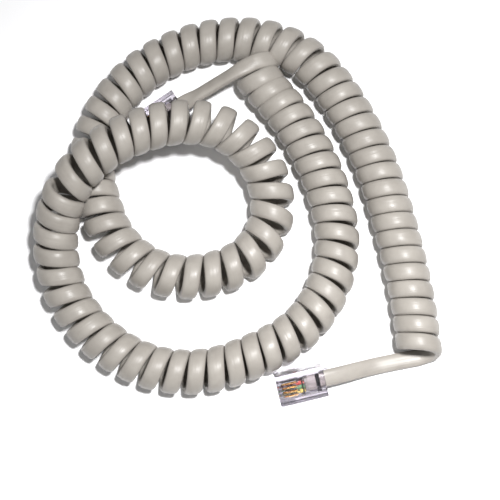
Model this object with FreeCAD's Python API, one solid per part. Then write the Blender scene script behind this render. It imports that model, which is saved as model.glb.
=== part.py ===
"""Coiled telephone handset cord with a clear four-contact modular plug on each end, in millimetres.

The cord is one flat four-wire jacket. Most of it is wound into a springy left-hand coil, which is one
fat tube here, and a short flat lead runs from each end of the coil to a plug. Every plug is built in
its own axes (+X from the cable entry to the nose, +Z towards the contacts) and then laid in place.
"""

import math
import os

import FreeCAD
import Part

V = FreeCAD.Vector

# Flat jacket and the coil wound from it
JACKET_WIDTH = 4.1
JACKET_THICKNESS = 2.2
COIL_DIAMETER = 11.0

# Middle of the whole cord in the route's own axes, so that the part's origin is at its centre
ROUTE_MIDDLE = (-3.113, 10.498)

# Plug body
BODY_LENGTH = 11.7
BODY_WIDTH = 7.65
BODY_HEIGHT = 6.6
EDGE_ROUND = 0.3
NOSE_CHAMFER = 0.6

# Conductors and contacts
CONDUCTORS = ("black", "red", "green", "yellow")
PITCH = 1.02
WIRE_DIAMETER = 0.92
BLADE_THICKNESS = 0.32
GAP = 0.03

# How far a cutting tool runs past the surface it opens
OVERRUN = 1.0

# An edge narrower than this across the plug lies in one of its side faces
FLAT_ACROSS = 0.01

# Stations along the plug, from the cable entry
JACKET_END_X = 5.0
WIRE_END_X = 10.7
BLADE_X = (7.0, 10.5)
BLADE_TOP = 2.95
BLADE_FOOT = -0.7
BLADE_TOOTH = 0.9
BLADE_SHOULDER = 0.5
BLADE_CORNER = 0.9
MOUTH_DEPTH = 0.9
MOUTH_EXTRA = 0.7
JACKET_CLEARANCE = 0.16
OPEN_NOSE_Z = 1.9

# Clamp bars pressed in from the contact side
JACKET_CLAMP_X = (1.3, 4.3)
WIRE_CLAMP_X = (5.4, 6.4)
CLAMP_WIDTH = 4.6
CLAMP_TOP = 2.3
JACKET_BITE = 0.9
WIRE_BITE = 0.3

# Latch arm
LATCH_WIDTH = 3.2
LATCH_THICKNESS = 0.95
LATCH_TAIL_X = -1.6
LATCH_STEP_X = 6.4
LATCH_STEP = 0.35
LATCH_THROAT = 0.8
FINGER_PAD = 1.0
KNUCKLE_X = 10.9
KNUCKLE_RADIUS = 0.45
KNUCKLE_GAP = 0.05
LATCH_DROP = 1.2
CHANNEL_WIDTH = 3.9
CHANNEL_DEPTH = 1.3

# Where each plug lies, in route axes: cable entry, heading to the nose, roll about its length, pitch
PLUGS = {
    "a": {"entry": (17.9, -31.4, 4.8), "heading": 193.5, "roll": -16.0, "pitch": 0.0},
    "b": {"entry": (-17.1, 36.95, 4.75), "heading": 213.0, "roll": 0.0, "pitch": 6.4},
}

# Share of the shorter run beside each corner of a route that its arc takes up
ARC_SHARE = 0.45

# Route of each stretch, in route axes, along the middle of the jacket or of the coil
COIL_POINTS = [
    (41.0, -27.0, 5.5),
    (40.2, -15.5, 5.5),
    (38.1, -4.0, 5.5),
    (35.4, 7.5, 5.5),
    (32.2, 19.0, 5.5),
    (27.7, 29.9, 5.5),
    (22.1, 39.8, 5.5),
    (14.6, 49.1, 5.5),
    (4.0, 53.8, 5.5),
    (-8.1, 53.9, 5.5),
    (-19.3, 50.6, 5.5),
    (-29.4, 43.9, 5.5),
    (-36.6, 34.5, 5.5),
    (-39.8, 23.5, 5.5),
    (-37.6, 12.2, 5.5),
    (-33.0, 1.2, 5.5),
    (-22.7, -6.4, 5.5),
    (-10.6, -6.9, 5.5),
    (0.8, -1.9, 5.5),
    (6.5, 9.0, 5.5),
    (3.5, 21.3, 8.5),
    (-5.5, 29.2, 12.5),
    (-16.5, 30.2, 15.3),
    (-27.0, 27.2, 17.0),
    (-36.6, 21.8, 18.0),
    (-43.8, 14.0, 16.0),
    (-47.6, 4.0, 10.0),
    (-46.5, -7.5, 6.0),
    (-41.0, -17.4, 5.5),
    (-32.0, -25.5, 5.5),
    (-21.0, -29.9, 5.5),
    (-9.5, -29.9, 5.5),
    (1.9, -25.8, 6.2),
    (12.4, -19.9, 6.2),
    (19.3, -10.2, 5.5),
    (22.0, 1.5, 5.5),
    (19.9, 13.5, 5.5),
    (15.6, 24.6, 5.5),
    (9.7, 34.5, 5.5),
    (3.2, 43.2, 5.5),
]
LEAD_A_POINTS = [
    (17.9, -31.4, 4.8),
    (22.8, -30.2, 4.1),
    (27.7, -28.75, 2.0),
    (33.5, -27.4, 1.1),
    (40.9, -26.0, 1.1),
]
LEAD_B_POINTS = [
    (3.2, 44.9, 9.9),
    (-2.0, 46.5, 9.6),
    (-6.5, 44.8, 8.2),
    (-12.1, 40.6, 5.8),
    (-17.1, 36.95, 4.75),
]


def route(points):
    """Points moved from route axes to the part's own axes."""
    return [V(x - ROUTE_MIDDLE[0], y - ROUTE_MIDDLE[1], z) for x, y, z in points]


def smooth_path(points):
    """Straight runs joined by tangent arcs. Gives the wire, its length and the arc radii."""
    edges = []
    radii = []
    start = points[0]
    for before, here, after in zip(points, points[1:], points[2:]):
        back = before - here
        on = after - here
        reach = ARC_SHARE * min(back.Length, on.Length)
        back.normalize()
        on.normalize()
        half_turn = (math.pi - back.getAngle(on)) / 2
        radius = reach / math.tan(half_turn)
        inward = back + on
        inward.normalize()
        enter = here + back * reach
        leave = here + on * reach
        middle = here + inward * (radius / math.cos(half_turn) - radius)
        edges.append(Part.LineSegment(start, enter).toShape())
        edges.append(Part.Arc(enter, middle, leave).toShape())
        radii.append(radius)
        start = leave
    edges.append(Part.LineSegment(start, points[-1]).toShape())
    wire = Part.Wire(edges)
    return wire, wire.Length, radii


def report_tube(name, solid, section, length, radii):
    share = solid.Volume / (section * length)
    print(f"{name}: length {length:.1f}, volume over section x length {share:.4f}")
    print("  radii " + " ".join(f"{r:.1f}" for r in radii))


def round_tube(name, points, diameter):
    wire, length, radii = smooth_path(points)
    heading = points[1] - points[0]
    ring = Part.Wire(Part.makeCircle(diameter / 2, points[0], heading))
    tube = wire.makePipeShell([ring], True, False)
    report_tube(name, tube, math.pi * diameter**2 / 4, length, radii)
    return tube


def jacket_outline(width, thickness):
    """The flat jacket's section about the origin, in the YZ plane: two flats and two round edges."""
    flat = (width - thickness) / 2
    half = thickness / 2
    bottom = Part.LineSegment(V(0, -flat, -half), V(0, flat, -half)).toShape()
    right = Part.Arc(V(0, flat, -half), V(0, flat + half, 0), V(0, flat, half)).toShape()
    top = Part.LineSegment(V(0, flat, half), V(0, -flat, half)).toShape()
    left = Part.Arc(V(0, -flat, half), V(0, -flat - half, 0), V(0, -flat, -half)).toShape()
    return Part.Wire([bottom, right, top, left])


def flat_tube(name, points, width, thickness):
    """The flat jacket swept along a path with its flats kept level across."""
    wire, length, radii = smooth_path(points)
    heading = points[1] - points[0]
    outline = jacket_outline(width, thickness)
    turn = math.degrees(math.atan2(heading.y, heading.x))
    outline.rotate(V(0, 0, 0), V(0, 0, 1), turn)
    outline.translate(points[0])
    sweep = Part.BRepOffsetAPI.MakePipeShell(wire)
    sweep.setBiNormalMode(V(0, 0, 1))
    sweep.add(outline, False, False)
    sweep.build()
    sweep.makeSolid()
    tube = sweep.shape()
    section = Part.Face(outline).Area
    report_tube(name, tube, section, length, radii)
    return tube


def block(x_span, width, z_span):
    """A box centred across the plug."""
    size = (x_span[1] - x_span[0], width, z_span[1] - z_span[0])
    return Part.makeBox(*size, V(x_span[0], -width / 2, z_span[0]))


def bar_along(x_span, width, thickness):
    """A flat bar with round edges, along the plug's middle."""
    outline = jacket_outline(width, thickness)
    outline.translate(V(x_span[0], 0, 0))
    return Part.Face(outline).extrude(V(x_span[1] - x_span[0], 0, 0))


def conductor_offsets():
    count = len(CONDUCTORS)
    return [(i - (count - 1) / 2) * PITCH for i in range(count)]


def rod(x_span, y, diameter):
    length = x_span[1] - x_span[0]
    return Part.makeCylinder(diameter / 2, length, V(x_span[0], y, 0), V(1, 0, 0))


def plate(outline, thickness, y=0.0):
    """An outline of (x, z) points made into a plate of the given thickness, centred on y."""
    corners = [V(x, y - thickness / 2, z) for x, z in outline]
    face = Part.Face(Part.makePolygon(corners + corners[:1]))
    return face.extrude(V(0, thickness, 0))


def knuckle(radius, length):
    centre_z = -BODY_HEIGHT / 2 + KNUCKLE_RADIUS
    return Part.makeCylinder(radius, length, V(KNUCKLE_X, -length / 2, centre_z), V(0, 1, 0))


def plain_body():
    """The plug's outer block: a profile with a sloped nose, and rounded edges along both sides."""
    half = BODY_HEIGHT / 2
    profile = [
        (0, -half),
        (BODY_LENGTH - NOSE_CHAMFER / 2, -half),
        (BODY_LENGTH, -half + NOSE_CHAMFER / 2),
        (BODY_LENGTH, half - NOSE_CHAMFER),
        (BODY_LENGTH - NOSE_CHAMFER, half),
        (0, half),
    ]
    outer = plate(profile, BODY_WIDTH)
    side_edges = [e for e in outer.Edges if e.BoundBox.YLength < FLAT_ACROSS]
    return outer.makeFillet(EDGE_ROUND, side_edges)


def cable_entry():
    """The space for the stripped jacket, with a wider mouth."""
    slot = (JACKET_WIDTH + JACKET_CLEARANCE, JACKET_THICKNESS + JACKET_CLEARANCE)
    wide = (JACKET_WIDTH + MOUTH_EXTRA, JACKET_THICKNESS + MOUTH_EXTRA)
    cavity = bar_along((-OVERRUN, JACKET_END_X), *slot)
    mouth = bar_along((-OVERRUN, MOUTH_DEPTH), *wide)
    return cavity.fuse(mouth)


def contact_slots():
    half = BODY_HEIGHT / 2
    slots = []
    for y in conductor_offsets():
        width = BLADE_THICKNESS + 2 * GAP
        deep = block((BLADE_X[0] - GAP, BLADE_X[1] + GAP), width, (BLADE_FOOT - GAP, half + OVERRUN))
        open_nose = block((BLADE_X[0] - GAP, BODY_LENGTH + OVERRUN), width, (OPEN_NOSE_Z, half + OVERRUN))
        for piece in (deep, open_nose):
            piece.translate(V(0, y, 0))
            slots.append(piece)
    return slots


def clamp_wells():
    """Open wells above the jacket and above the wires, where the clamp bars go down."""
    half = BODY_HEIGHT / 2
    wide = CLAMP_WIDTH + 2 * GAP
    spans = (JACKET_CLAMP_X, WIRE_CLAMP_X)
    return [block((back - GAP, front + GAP), wide, (0, half + OVERRUN)) for back, front in spans]


def latch_channel():
    """The open channel on the latch side that takes the arm when it is pressed."""
    half = BODY_HEIGHT / 2
    channel = block((-OVERRUN, KNUCKLE_X), CHANNEL_WIDTH, (-half - OVERRUN, -half + CHANNEL_DEPTH))
    seat = knuckle(KNUCKLE_RADIUS + KNUCKLE_GAP, CHANNEL_WIDTH)
    below = block(
        (KNUCKLE_X, KNUCKLE_X + KNUCKLE_RADIUS + KNUCKLE_GAP),
        CHANNEL_WIDTH,
        (-half - OVERRUN, -half + KNUCKLE_RADIUS),
    )
    return [channel, seat, below]


def housing():
    cuts = [cable_entry()]
    cuts += [rod((JACKET_END_X, WIRE_END_X + GAP), y, WIRE_DIAMETER + 2 * GAP) for y in conductor_offsets()]
    cuts += contact_slots() + clamp_wells() + latch_channel()
    return plain_body().cut(cuts)


def latch():
    """The sprung arm: knuckle at the nose, wedge with a locking step, finger lever past the entry."""
    half = BODY_HEIGHT / 2
    top = -half + LATCH_THICKNESS
    step_z = -half + LATCH_STEP
    side = [
        (KNUCKLE_X, -half),
        (LATCH_STEP_X, -half),
        (LATCH_STEP_X, step_z),
        (LATCH_TAIL_X, step_z),
        (LATCH_TAIL_X, top),
        (KNUCKLE_X - LATCH_THROAT, top),
        (KNUCKLE_X, -half + 2 * KNUCKLE_RADIUS),
    ]
    arm = plate(side, LATCH_WIDTH)
    pad = block((LATCH_TAIL_X, LATCH_TAIL_X + FINGER_PAD), LATCH_WIDTH, (-half, step_z))
    arm = arm.fuse([pad, knuckle(KNUCKLE_RADIUS, LATCH_WIDTH)]).removeSplitter()
    reach = KNUCKLE_X - LATCH_TAIL_X
    droop = math.degrees(math.asin(LATCH_DROP / reach))
    arm.rotate(V(KNUCKLE_X, 0, -half + KNUCKLE_RADIUS), V(0, 1, 0), -droop)
    return arm


def blade(y):
    """One contact: a thin plate with a rounded nose corner and two teeth through its wire."""
    back, front = BLADE_X
    shoulder = WIRE_DIAMETER / 2 + GAP
    side = [(back, BLADE_TOP), (back, shoulder)]
    for start in (back + BLADE_SHOULDER, front - BLADE_SHOULDER - BLADE_TOOTH):
        side.append((start, shoulder))
        side.append((start + BLADE_TOOTH / 2, BLADE_FOOT))
        side.append((start + BLADE_TOOTH, shoulder))
    side.append((front, shoulder))
    side.append((front, BLADE_TOP - BLADE_CORNER))
    side.append((front - BLADE_CORNER / 4, BLADE_TOP - BLADE_CORNER / 4))
    side.append((front - BLADE_CORNER, BLADE_TOP))
    return plate(side, BLADE_THICKNESS, y)


def clamp_bar(span, low, bite):
    """A bar across the plug with a sloped biting edge towards the entry."""
    back, front = span
    side = [(back, low + bite), (back + bite, low), (front, low), (front, CLAMP_TOP), (back, CLAMP_TOP)]
    return plate(side, CLAMP_WIDTH)


def lay(shape, place):
    """Puts a piece made in plug axes where its plug lies."""
    moved = shape.copy()
    moved.rotate(V(0, 0, 0), V(1, 0, 0), place["roll"])
    moved.rotate(V(0, 0, 0), V(0, 1, 0), place["pitch"])
    moved.rotate(V(0, 0, 0), V(0, 0, 1), place["heading"])
    moved.translate(route([place["entry"]])[0])
    return moved


def plug(name, place):
    """All the pieces of one plug, laid in place."""
    pieces = {
        "housing": housing(),
        "latch": latch(),
        "jacket_end": bar_along((0, JACKET_END_X), JACKET_WIDTH, JACKET_THICKNESS),
        "jacket_clamp": clamp_bar(JACKET_CLAMP_X, JACKET_THICKNESS / 2 + GAP, JACKET_BITE),
        "wire_clamp": clamp_bar(WIRE_CLAMP_X, WIRE_DIAMETER / 2 + GAP, WIRE_BITE),
    }
    for number, (colour, y) in enumerate(zip(CONDUCTORS, conductor_offsets()), 1):
        contact = blade(y)
        pieces[f"contact_{number}"] = contact
        pieces[f"wire_{colour}"] = rod((JACKET_END_X, WIRE_END_X), y, WIRE_DIAMETER).cut(contact)
    return {f"plug_{name}_{piece}": lay(shape, place) for piece, shape in pieces.items()}


def main():
    nodes = {
        "coil": round_tube("coil", route(COIL_POINTS), COIL_DIAMETER),
        "lead_a": flat_tube("lead_a", route(LEAD_A_POINTS), JACKET_WIDTH, JACKET_THICKNESS),
        "lead_b": flat_tube("lead_b", route(LEAD_B_POINTS), JACKET_WIDTH, JACKET_THICKNESS),
    }
    for name, place in PLUGS.items():
        nodes.update(plug(name, place))
    os.makedirs("parts", exist_ok=True)
    for name, shape in nodes.items():
        shape.exportStep(f"parts/{name}.step")
    return nodes


main()
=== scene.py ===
"""A coiled telephone handset cord with a clear modular plug on each end, on a plain white floor."""
import math

import bpy
import numpy as np
from mathutils import Matrix, Vector


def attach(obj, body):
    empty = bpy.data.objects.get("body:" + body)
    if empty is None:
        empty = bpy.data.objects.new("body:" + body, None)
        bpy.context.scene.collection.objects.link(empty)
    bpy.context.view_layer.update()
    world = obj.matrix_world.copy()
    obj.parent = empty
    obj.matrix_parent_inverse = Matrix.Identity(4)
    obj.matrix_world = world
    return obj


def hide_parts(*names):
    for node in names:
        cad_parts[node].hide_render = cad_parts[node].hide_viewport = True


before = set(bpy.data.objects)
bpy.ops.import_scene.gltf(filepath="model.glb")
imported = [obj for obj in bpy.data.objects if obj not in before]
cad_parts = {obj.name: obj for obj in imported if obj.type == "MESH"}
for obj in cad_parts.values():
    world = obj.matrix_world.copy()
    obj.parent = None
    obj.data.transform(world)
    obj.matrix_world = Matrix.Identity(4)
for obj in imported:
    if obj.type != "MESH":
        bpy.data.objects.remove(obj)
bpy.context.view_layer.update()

MM = 0.001

# Sizes shared with the CAD part, in metres
JACKET_WIDTH = 4.1 * MM
JACKET_THICKNESS = 2.2 * MM
COIL_DIAMETER = 11.0 * MM
JACKET_END_X = 5.0 * MM
ROUTE_MIDDLE = (-3.113 * MM, 10.498 * MM)
WIND_RADIUS = (COIL_DIAMETER - JACKET_THICKNESS) / 2

# Where each plug lies: its cable entry in millimetres, and its turns in degrees, as in the CAD part
PLUGS = {
    "a": {"entry": (17.9, -31.4, 4.8), "heading": 193.5, "roll": -16.0, "pitch": 0.0},
    "b": {"entry": (-17.1, 36.95, 4.75), "heading": 213.0, "roll": 0.0, "pitch": 6.4},
}

# The route, as control points in millimetres, in the same axes as the CAD part's route. The coil's two
# ends and plug B's lead are moved a little from the CAD's, so that the first turn leaves plug A's lead
# at the bottom of the coil and the last turn rises to plug B's lead at the top.
COIL_POINTS = [
    (41.1, -26.0, 5.5),
    (40.2, -15.5, 5.5),
    (38.1, -4.0, 5.5),
    (35.4, 7.5, 5.5),
    (32.2, 19.0, 5.5),
    (27.7, 29.9, 5.5),
    (22.1, 39.8, 5.5),
    (14.6, 49.1, 5.5),
    (4.0, 53.8, 5.5),
    (-8.1, 53.9, 5.5),
    (-19.3, 50.6, 5.5),
    (-29.4, 43.9, 5.5),
    (-36.6, 34.5, 5.5),
    (-39.8, 23.5, 5.5),
    (-37.6, 12.2, 5.5),
    (-33.0, 1.2, 5.5),
    (-22.7, -6.4, 5.5),
    (-10.6, -6.9, 5.5),
    (0.8, -1.9, 5.5),
    (6.5, 9.0, 5.5),
    (3.5, 21.3, 8.5),
    (-5.5, 29.2, 12.5),
    (-16.5, 30.2, 15.3),
    (-27.0, 27.2, 17.0),
    (-36.6, 21.8, 18.0),
    (-43.8, 14.0, 16.0),
    (-47.6, 4.0, 10.0),
    (-46.5, -7.5, 6.0),
    (-41.0, -17.4, 5.5),
    (-32.0, -25.5, 5.5),
    (-21.0, -29.9, 5.5),
    (-9.5, -29.9, 5.5),
    (1.9, -25.8, 6.2),
    (12.4, -19.9, 6.2),
    (19.3, -10.2, 5.5),
    (22.0, 1.5, 5.5),
    (19.9, 13.5, 5.5),
    (15.6, 24.6, 5.5),
    (9.7, 34.5, 5.5),
    (2.0, 43.2, 5.8),
    (0.9, 46.1, 6.4),
]
LEAD_A_POINTS = [
    (17.9, -31.4, 4.8),
    (22.8, -30.2, 4.1),
    (27.7, -28.75, 2.0),
    (33.5, -27.4, 1.1),
    (41.1, -26.0, 1.1),
]
LEAD_B_POINTS = [
    (1.5, 46.5, 10.1),
    (-1.5, 45.1, 10.1),
    (-5.0, 43.35, 8.7),
    (-12.1, 39.7, 5.9),
    (-17.1, 36.95, 4.75),
]


def route(points):
    """Control points in metres, in the part's own axes."""
    x0, y0 = ROUTE_MIDDLE
    return [Vector((x * MM - x0, y * MM - y0, z * MM)) for x, y, z in points]


# ---------------------------------------------------------------- camera, floor and light


# The camera looks at the origin of the route's axes, half a coil up. The view is VIEW_SPAN metres wide
# there.
CAMERA_TARGET = (0.0, 0.0, 5.5)
CAMERA_ELEVATION = 80.0
CAMERA_DISTANCE = 0.35
VIEW_SPAN = 0.1225
SENSOR = 36.0
NEAREST_SEEN = 0.005

FLOOR_HALF = 1.2
FLOOR_DROP = 0.05 * MM


def add_camera():
    data = bpy.data.cameras.new("camera")
    data.sensor_width = SENSOR
    data.lens = SENSOR * CAMERA_DISTANCE / VIEW_SPAN
    data.clip_start = NEAREST_SEEN
    camera = bpy.data.objects.new("camera", data)
    bpy.context.scene.collection.objects.link(camera)
    tilt = math.radians(CAMERA_ELEVATION)
    offset = Vector((0, -math.cos(tilt), math.sin(tilt))) * CAMERA_DISTANCE
    camera.location = route([CAMERA_TARGET])[0] + offset
    camera.rotation_euler = (math.radians(90) - tilt, 0, 0)
    bpy.context.scene.camera = camera


def add_area(name, place, aim, size, power, spread=180.0):
    """A round lamp. A spread under 180 degrees narrows its light towards the aim."""
    data = bpy.data.lights.new(name, "AREA")
    data.shape = "DISK"
    data.size = size
    data.energy = power
    data.spread = math.radians(spread)
    lamp = bpy.data.objects.new(name, data)
    lamp.location = place
    lamp.rotation_euler = (Vector(aim) - Vector(place)).to_track_quat("-Z", "Y").to_euler()
    bpy.context.scene.collection.objects.link(lamp)


def add_floor():
    mesh = bpy.data.meshes.new("floor")
    half = FLOOR_HALF
    corners = [(-half, -half, 0), (half, -half, 0), (half, half, 0), (-half, half, 0)]
    mesh.from_pydata(corners, [], [(0, 1, 2, 3)])
    floor = bpy.data.objects.new("floor", mesh)
    floor.location.z = -FLOOR_DROP
    bpy.context.scene.collection.objects.link(floor)
    mesh.materials.append(floor_material())


def floor_material():
    material, _, shader = new_material("floor")
    shader.inputs["Base Color"].default_value = (0.93, 0.93, 0.94, 1)
    shader.inputs["Roughness"].default_value = 0.7
    shader.inputs["Specular IOR Level"].default_value = 0.2
    return material


def add_world():
    world = bpy.data.worlds.new("world")
    world.use_nodes = True
    background = world.node_tree.nodes["Background"]
    background.inputs["Color"].default_value = (1.0, 1.0, 1.0, 1)
    background.inputs["Strength"].default_value = 0.12
    bpy.context.scene.world = world


# ---------------------------------------------------------------- materials


def new_material(name):
    material = bpy.data.materials.new(name)
    material.use_nodes = True
    tree = material.node_tree
    return material, tree, tree.nodes["Principled BSDF"]


def add_node(tree, kind, **values):
    node = tree.nodes.new(kind)
    for key, value in values.items():
        setattr(node, key, value)
    return node


def noise(tree, scale, detail, vector):
    node = add_node(tree, "ShaderNodeTexNoise")
    node.inputs["Scale"].default_value = scale
    node.inputs["Detail"].default_value = detail
    tree.links.new(vector, node.inputs["Vector"])
    return node.outputs["Fac"]


def ramp(tree, value, low, high, start=0.3, end=0.7):
    """A two-colour ramp over a value."""
    node = add_node(tree, "ShaderNodeValToRGB")
    node.color_ramp.elements[0].position = start
    node.color_ramp.elements[1].position = end
    node.color_ramp.elements[0].color = (*low, 1)
    node.color_ramp.elements[1].color = (*high, 1)
    tree.links.new(value, node.inputs["Fac"])
    return node.outputs["Color"]


def map_range(tree, value, low, high):
    """The middle half of a value's range, spread from low to high."""
    node = add_node(tree, "ShaderNodeMapRange")
    node.inputs["From Min"].default_value = 0.25
    node.inputs["From Max"].default_value = 0.75
    node.inputs["To Min"].default_value = low
    node.inputs["To Max"].default_value = high
    tree.links.new(value, node.inputs["Value"])
    return node.outputs["Result"]


# Height of the fine grain in the jacket's bump, beside the drawn lines
GRAIN_SHARE = 0.25


def jacket_material():
    """Warm grey glossy PVC with faint lines drawn along it by the extruder."""
    material, tree, shader = new_material("jacket_pvc")
    place = add_node(tree, "ShaderNodeTexCoord").outputs["Object"]
    mottle = noise(tree, scale=260, detail=3, vector=place)
    colour = ramp(tree, mottle, (0.288, 0.266, 0.24), (0.342, 0.318, 0.288))
    tree.links.new(colour, shader.inputs["Base Color"])

    across = add_node(tree, "ShaderNodeAttribute", attribute_name="lay").outputs["Vector"]
    lines = noise(tree, scale=1.0, detail=4, vector=across)
    grain = noise(tree, scale=2600, detail=2, vector=place)
    rough = map_range(tree, lines, low=0.30, high=0.48)
    tree.links.new(rough, shader.inputs["Roughness"])
    both = add_node(tree, "ShaderNodeMath", operation="MULTIPLY_ADD")
    tree.links.new(grain, both.inputs[0])
    both.inputs[1].default_value = GRAIN_SHARE
    tree.links.new(lines, both.inputs[2])
    bump = add_node(tree, "ShaderNodeBump")
    bump.inputs["Strength"].default_value = 0.8
    bump.inputs["Distance"].default_value = 0.00011
    tree.links.new(both.outputs[0], bump.inputs["Height"])
    tree.links.new(bump.outputs["Normal"], shader.inputs["Normal"])
    shader.inputs["Specular IOR Level"].default_value = 0.35
    return material


def clear_material():
    """Clear moulded polycarbonate with a faint lilac cast and slight flow marks. Lamps shine through it."""
    material, tree, shader = new_material("clear_polycarbonate")
    place = add_node(tree, "ShaderNodeTexCoord").outputs["Object"]
    flow = noise(tree, scale=900, detail=2, vector=place)
    colour = ramp(tree, flow, (0.42, 0.40, 0.44), (0.54, 0.52, 0.56))
    tree.links.new(colour, shader.inputs["Base Color"])
    haze = noise(tree, scale=1500, detail=3, vector=place)
    rough = map_range(tree, haze, low=0.10, high=0.20)
    tree.links.new(rough, shader.inputs["Roughness"])
    shader.inputs["Transmission Weight"].default_value = 1.0
    shader.inputs["IOR"].default_value = 1.58
    bump = add_node(tree, "ShaderNodeBump")
    bump.inputs["Strength"].default_value = 0.15
    bump.inputs["Distance"].default_value = 0.00004
    tree.links.new(flow, bump.inputs["Height"])
    tree.links.new(bump.outputs["Normal"], shader.inputs["Normal"])
    clear = add_node(tree, "ShaderNodeBsdfTransparent")
    clear.inputs["Color"].default_value = (0.90, 0.89, 0.90, 1)
    shadow = add_node(tree, "ShaderNodeLightPath").outputs["Is Shadow Ray"]
    mix = add_node(tree, "ShaderNodeMixShader")
    tree.links.new(shadow, mix.inputs["Fac"])
    tree.links.new(shader.outputs["BSDF"], mix.inputs[1])
    tree.links.new(clear.outputs["BSDF"], mix.inputs[2])
    out = tree.nodes["Material Output"]
    tree.links.new(mix.outputs["Shader"], out.inputs["Surface"])
    return material


def gold_material():
    """Gold plate on the contacts, a little uneven."""
    material, tree, shader = new_material("gold_plate")
    place = add_node(tree, "ShaderNodeTexCoord").outputs["Object"]
    tone = noise(tree, scale=1800, detail=3, vector=place)
    colour = ramp(tree, tone, (0.66, 0.30, 0.08), (0.90, 0.54, 0.20))
    tree.links.new(colour, shader.inputs["Base Color"])
    tree.links.new(map_range(tree, tone, low=0.16, high=0.34), shader.inputs["Roughness"])
    shader.inputs["Metallic"].default_value = 1.0
    return material


def wire_material(name, low, high):
    """One conductor's coloured insulation."""
    material, tree, shader = new_material(name)
    place = add_node(tree, "ShaderNodeTexCoord").outputs["Object"]
    tone = noise(tree, scale=1600, detail=2, vector=place)
    tree.links.new(ramp(tree, tone, low, high), shader.inputs["Base Color"])
    tree.links.new(map_range(tree, tone, low=0.3, high=0.45), shader.inputs["Roughness"])
    return material


WIRE_COLOURS = {
    "black": ((0.012, 0.012, 0.014), (0.03, 0.03, 0.035)),
    "red": ((0.42, 0.045, 0.03), (0.55, 0.08, 0.05)),
    "green": ((0.06, 0.22, 0.07), (0.10, 0.30, 0.11)),
    "yellow": ((0.62, 0.48, 0.08), (0.75, 0.60, 0.16)),
}


# ---------------------------------------------------------------- the cord's route


def spline_points(points, resolution=24):
    """Points along the smooth NURBS line that has these control points."""
    curve = bpy.data.curves.new("route", "CURVE")
    curve.dimensions = "3D"
    spline = curve.splines.new("NURBS")
    spline.points.add(len(points) - 1)
    for target, point in zip(spline.points, points):
        target.co = (*point, 1)
    spline.order_u = 3
    spline.use_endpoint_u = True
    spline.resolution_u = resolution
    holder = bpy.data.objects.new("route", curve)
    mesh = bpy.data.meshes.new_from_object(holder)
    line = np.array([v.co for v in mesh.vertices])
    bpy.data.meshes.remove(mesh)
    bpy.data.objects.remove(holder)
    bpy.data.curves.remove(curve)
    return line


def along(line):
    """Distance of each point along the line."""
    steps = np.linalg.norm(np.diff(line, axis=0), axis=1)
    return np.concatenate([[0], np.cumsum(steps)])


def resample(line, step):
    """The line again with points evenly spaced, about step apart."""
    distance = along(line)
    count = max(2, round(distance[-1] / step) + 1)
    even = np.linspace(0, distance[-1], count)
    return np.stack([np.interp(even, distance, line[:, k]) for k in range(3)], axis=1)


def smooth_values(values, reach):
    """A running mean over reach samples each way, with the ends held."""
    window = np.ones(2 * reach + 1) / (2 * reach + 1)
    padded = np.concatenate([np.full(reach, values[0]), values, np.full(reach, values[-1])])
    return np.convolve(padded, window, "valid")


def smoothstep(value):
    t = np.clip(value, 0, 1)
    return t * t * (3 - 2 * t)


# How finely the coil's axis, its winding and the leads are divided
COIL_STEP = 0.2 * MM
RING_DEGREES = 10.0
LEAD_STEP = 0.7 * MM

# The winding: the gap between turns that touch, and the most that a bend opens them, as a share of a turn
TURN_GAP = 0.03 * MM
MOST_OPEN = 0.6
AXIS_SMOOTHING = 3 * MM

# Small uneven openings along the coil
LOOSE_SEED = 7
LOOSE_REACH = 5 * MM
LOOSENESS = 0.006
LOOSE_FLOOR = 0.6
LOOSE_MOST = 3

# The first turn is drawn open, and the last ones are pressed together and flare out a little
START_OPEN = 0.45
START_REACH = 2 * MM
END_OPEN = -0.08
END_REACH = 16 * MM
END_EASE = 4 * MM
END_FLARE = 0.08
FLARED_TURNS = 1.5

# The one place where two turns part widely: where it is on the route, and how far the axis turns and
# drops there, in degrees
PARTING = (-42.8, 14.6, 15.9)
PARTING_TURN = 9.0
PARTING_DROP = 3.0
PARTING_REACH = 1.2 * MM
PARTING_FADE = 9

# Where the winding meets the leads, and how the leads turn over between the coil and the plugs
JOIN_DEGREES = 200
STUB_POINTS = 6
LEAD_A_EASE = 1.3
LEAD_B_TWIST = 40.0
LEAD_B_TWIST_IN = 0.35
LEAD_B_TWIST_OUT = 0.25


def coil_axes(line):
    """Heading and slope of the coil's axis along the line, in radians, and distance along it."""
    distance = along(line)
    tangent = np.gradient(line, distance, axis=0)
    tangent /= np.linalg.norm(tangent, axis=1)[:, None]
    heading = np.unwrap(np.arctan2(tangent[:, 1], tangent[:, 0]))
    slope = np.arcsin(tangent[:, 2])
    reach = round(AXIS_SMOOTHING / COIL_STEP)
    heading = smooth_values(heading, reach)
    slope = smooth_values(slope, reach)
    parting = np.array(route([PARTING])[0])
    place = distance[np.argmin(np.linalg.norm(line - parting, axis=1))]
    away = (distance - place) / PARTING_REACH
    step = np.tanh(away) * np.exp(-((away / PARTING_FADE) ** 2)) / 2
    heading += math.radians(PARTING_TURN) * step
    slope -= math.radians(PARTING_DROP) * step
    return heading, slope, distance


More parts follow.
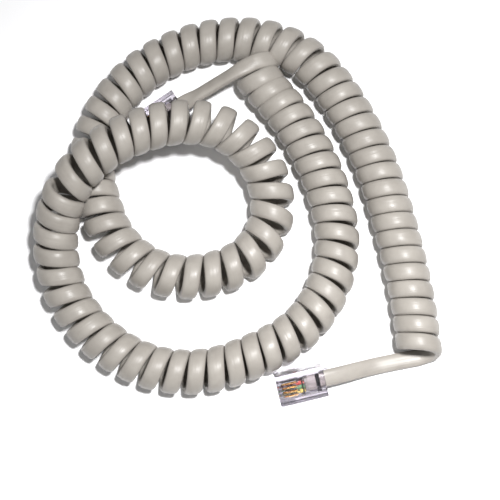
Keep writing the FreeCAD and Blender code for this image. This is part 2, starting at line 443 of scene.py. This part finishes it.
def turn_phase(heading, slope, distance):
    """Angle of the winding along the coil. Turns touch on the inside of a bend and open outside."""
    turn = np.gradient(heading, distance) * np.cos(slope)
    tilt = np.gradient(slope, distance)
    bend = np.hypot(turn, tilt)
    closed = JACKET_WIDTH + TURN_GAP
    near_end = smoothstep((distance - distance[-1] + END_REACH) / END_EASE)
    limit = MOST_OPEN + (END_OPEN - MOST_OPEN) * near_end
    pitch = closed / (1 - np.minimum(bend * WIND_RADIUS, limit))
    pitch *= 1 + START_OPEN * (1 - smoothstep((distance - START_REACH) / START_REACH))
    rng = np.random.default_rng(LOOSE_SEED)
    loose = smooth_values(rng.random(len(distance)), round(LOOSE_REACH / COIL_STEP))
    loose = (loose - loose.mean()) / loose.std()
    pitch *= 1 + LOOSENESS * np.clip(loose + LOOSE_FLOOR, 0, LOOSE_MOST)
    steps = np.diff(distance) / ((pitch[1:] + pitch[:-1]) / 2)
    turns = np.concatenate([[0], np.cumsum(steps)])
    # From the coil's bottom to its top takes a whole number of turns and a half
    whole = math.floor(turns[-1] - 0.5) + 0.5
    return -math.pi / 2 + 2 * math.pi * turns * whole / turns[-1]


def helix(line):
    """Middle line of the wound jacket, and its outward direction, ring by ring."""
    heading, slope, distance = coil_axes(line)
    phase = turn_phase(heading, slope, distance)
    rings = round((phase[-1] - phase[0]) / math.radians(RING_DEGREES))
    angle = np.linspace(phase[0], phase[-1], rings + 1)
    where = np.interp(angle, phase, distance)
    centre = np.stack([np.interp(where, distance, line[:, k]) for k in range(3)], axis=1)
    turn = np.interp(where, distance, heading)
    tilt = np.interp(where, distance, slope)
    zero = np.zeros_like(turn)
    right = np.stack([np.sin(turn), -np.cos(turn), zero], axis=1)
    ahead = np.stack([np.cos(turn) * np.cos(tilt), np.sin(turn) * np.cos(tilt), np.sin(tilt)], axis=1)
    up = np.cross(right, ahead)
    outward = np.cos(angle)[:, None] * right + np.sin(angle)[:, None] * up
    turns_left = (angle[-1] - angle) / (2 * math.pi)
    radius = WIND_RADIUS * (1 + END_FLARE * smoothstep(FLARED_TURNS - turns_left))
    return centre + radius[:, None] * outward, outward


def level_normals(line, sign):
    """Upward direction square to the line, for a flat lead, times sign."""
    tangent = np.gradient(line, axis=0)
    tangent /= np.linalg.norm(tangent, axis=1)[:, None]
    up = np.array([0, 0, 1.0]) - tangent * tangent[:, 2:3]
    return sign * up / np.linalg.norm(up, axis=1)[:, None]


def twisted(line, normals, angles):
    """Normals turned about the line by angles in radians."""
    tangent = np.gradient(line, axis=0)
    tangent /= np.linalg.norm(tangent, axis=1)[:, None]
    side = np.cross(tangent, normals)
    return np.cos(angles)[:, None] * normals + np.sin(angles)[:, None] * side


def plug_matrix(place):
    """Plug axes to the part's axes."""
    turn = Matrix.Rotation(math.radians(place["heading"]), 4, "Z")
    pitch = Matrix.Rotation(math.radians(place["pitch"]), 4, "Y")
    roll = Matrix.Rotation(math.radians(place["roll"]), 4, "X")
    return Matrix.Translation(route([place["entry"]])[0]) @ turn @ pitch @ roll


def plug_stub(place):
    """The stripped jacket's middle line inside a plug, from its end to the cable entry."""
    matrix = plug_matrix(place)
    stations = np.linspace(JACKET_END_X, 0, STUB_POINTS + 1)[:-1]
    inner = [matrix @ Vector((x, 0, 0)) for x in stations]
    return np.array(inner), np.array(matrix.to_3x3() @ Vector((0, 0, 1)))


def cord_path():
    """Middle line and outward direction of the whole jacket, from inside plug A to inside plug B."""
    coil_line = resample(spline_points(route(COIL_POINTS)), COIL_STEP)
    wound, outward = helix(coil_line)

    lead_a = resample(spline_points(route(LEAD_A_POINTS)), LEAD_STEP)
    lead_b = resample(spline_points(route(LEAD_B_POINTS)), LEAD_STEP)
    fade = smoothstep(1 - np.arange(len(wound)) / (JOIN_DEGREES / RING_DEGREES))[:, None]
    wound = wound + (lead_a[-1] - wound[0]) * fade + (lead_b[0] - wound[-1]) * fade[::-1]

    stub_a, up_a = plug_stub(PLUGS["a"])
    stub_b, up_b = plug_stub(PLUGS["b"])
    lead_a = lead_a[:-1]
    lead_b = lead_b[1:]
    turned_a = roll_between(lead_a, -up_a, level_normals(lead_a, -1)[0])
    ease_a = 1 - smoothstep(np.linspace(0, LEAD_A_EASE, len(lead_a)))
    normals_a = twisted(lead_a, level_normals(lead_a, -1), turned_a * ease_a)
    turned_b = roll_between(lead_b, up_b, level_normals(lead_b, 1)[-1], last=True)
    share_b = np.linspace(0, 1, len(lead_b))
    lean = smoothstep(share_b / LEAD_B_TWIST_IN) * smoothstep((1 - share_b) / LEAD_B_TWIST_OUT)
    angles_b = turned_b * smoothstep(share_b) + math.radians(LEAD_B_TWIST) * lean
    normals_b = twisted(lead_b, level_normals(lead_b, 1), angles_b)

    in_plug_a = np.tile(-up_a, (len(stub_a), 1))
    in_plug_b = np.tile(up_b, (len(stub_b), 1))
    line = np.concatenate([stub_a, lead_a, wound, lead_b, stub_b[::-1]])
    normals = np.concatenate([in_plug_a, normals_a, outward, normals_b, in_plug_b])
    return line, normals


def roll_between(line, wanted, level, last=False):
    """Angle about the line, at one end, from the level normal to the wanted one."""
    tangent = line[-1] - line[-2] if last else line[1] - line[0]
    tangent /= np.linalg.norm(tangent)
    return math.atan2(np.dot(np.cross(level, wanted), tangent), np.dot(level, wanted))


# ---------------------------------------------------------------- the jacket's mesh


# The jacket's outline: points round it, how square it is, and how much its faces dome
SECTION_POINTS = 20
SQUARENESS = 3.0
DOME = 0.10

# Spacing of the drawn lines across the jacket, and their length along it
LINE_WIDTH = 0.5 * MM
LINE_LENGTH = 14 * MM
FACES_APART = 5


def section():
    """The flat jacket's outline: nearly flat faces, full round edges. (across, out) in metres."""
    outline = []
    for k in range(SECTION_POINTS):
        angle = 2 * math.pi * (k + 0.5) / SECTION_POINTS
        c, s = math.cos(angle), math.sin(angle)
        power = 2 / SQUARENESS
        across = math.copysign(abs(c) ** power, c) * JACKET_WIDTH / 2
        dome = 1 - DOME * (across * 2 / JACKET_WIDTH) ** 2
        out = math.copysign(abs(s) ** power, s) * dome * JACKET_THICKNESS / 2
        outline.append((across, out))
    return np.array(outline)


def sweep(name, line, normals, outline):
    """A closed tube with this outline along the line, with its lay stored as an attribute."""
    tangent = np.gradient(line, axis=0)
    tangent /= np.linalg.norm(tangent, axis=1)[:, None]
    side = np.cross(tangent, normals)
    side /= np.linalg.norm(side, axis=1)[:, None]
    out = np.cross(side, tangent)
    count, width = len(line), len(outline)
    rings = line[:, None] + outline[None, :, :1] * side[:, None] + outline[None, :, 1:] * out[:, None]
    first = np.arange(count - 1)[:, None] * width
    k = np.arange(width)[None, :]
    after = (k + 1) % width
    quads = np.stack([first + k, first + k + width, first + after + width, first + after], axis=2)
    faces = quads.reshape(-1, 4).tolist()
    faces.append(list(range(width)))
    faces.append([(count - 1) * width + i for i in reversed(range(width))])
    mesh = bpy.data.meshes.new(name)
    mesh.from_pydata(rings.reshape(-1, 3).tolist(), [], faces)
    mesh.polygons.foreach_set("use_smooth", [True] * (len(faces) - 2) + [False] * 2)
    lay = mesh.attributes.new("lay", "FLOAT_VECTOR", "POINT")
    spread = np.zeros((count, width, 3))
    spread[:, :, 0] = outline[None, :, 0] / LINE_WIDTH
    spread[:, :, 1] = np.sign(outline[None, :, 1]) * FACES_APART
    spread[:, :, 2] = (along(line) / LINE_LENGTH)[:, None]
    lay.data.foreach_set("vector", spread.reshape(-1))
    piece = bpy.data.objects.new(name, mesh)
    bpy.context.scene.collection.objects.link(piece)
    return piece


def add_cord():
    """The whole jacket as one piece, from plug to plug, in place of the CAD's coil, leads and jacket ends.
    """
    line, normals = cord_path()
    cord = sweep("cord_jacket", line, normals, section())
    cord.data.materials.append(jacket_material())
    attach(cord, "cord")
    replaced = ["coil", "lead_a", "lead_b", "plug_a_jacket_end", "plug_b_jacket_end"]
    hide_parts(*replaced)
    on_plug_b = [node for name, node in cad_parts.items() if name.startswith("plug_b_")]
    on_plug_b = [node for node in on_plug_b if node.name not in replaced]


def dress_plugs():
    """Gives each plug piece that comes from the CAD its material."""
    clear = clear_material()
    gold = gold_material()
    wires = {colour: wire_material(f"wire_{colour}", *tones) for colour, tones in WIRE_COLOURS.items()}
    for name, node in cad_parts.items():
        if "_contact_" in name:
            chosen = gold
        elif name.rsplit("_", 1)[-1] in wires:
            chosen = wires[name.rsplit("_", 1)[-1]]
        else:
            chosen = clear
        node.data.materials.clear()
        node.data.materials.append(chosen)


add_camera()
add_cord()
dress_plugs()
add_floor()
add_world()
add_area("key", place=(0.07, 0.0, 0.42), aim=(0.03, -0.04, 0.0), size=0.045, power=0.35, spread=60.6)
add_area("fill", place=(-0.2, -0.2, 0.5), aim=(0, 0, 0), size=0.4, power=0.4)
bpy.context.scene.view_settings.view_transform = "Standard"
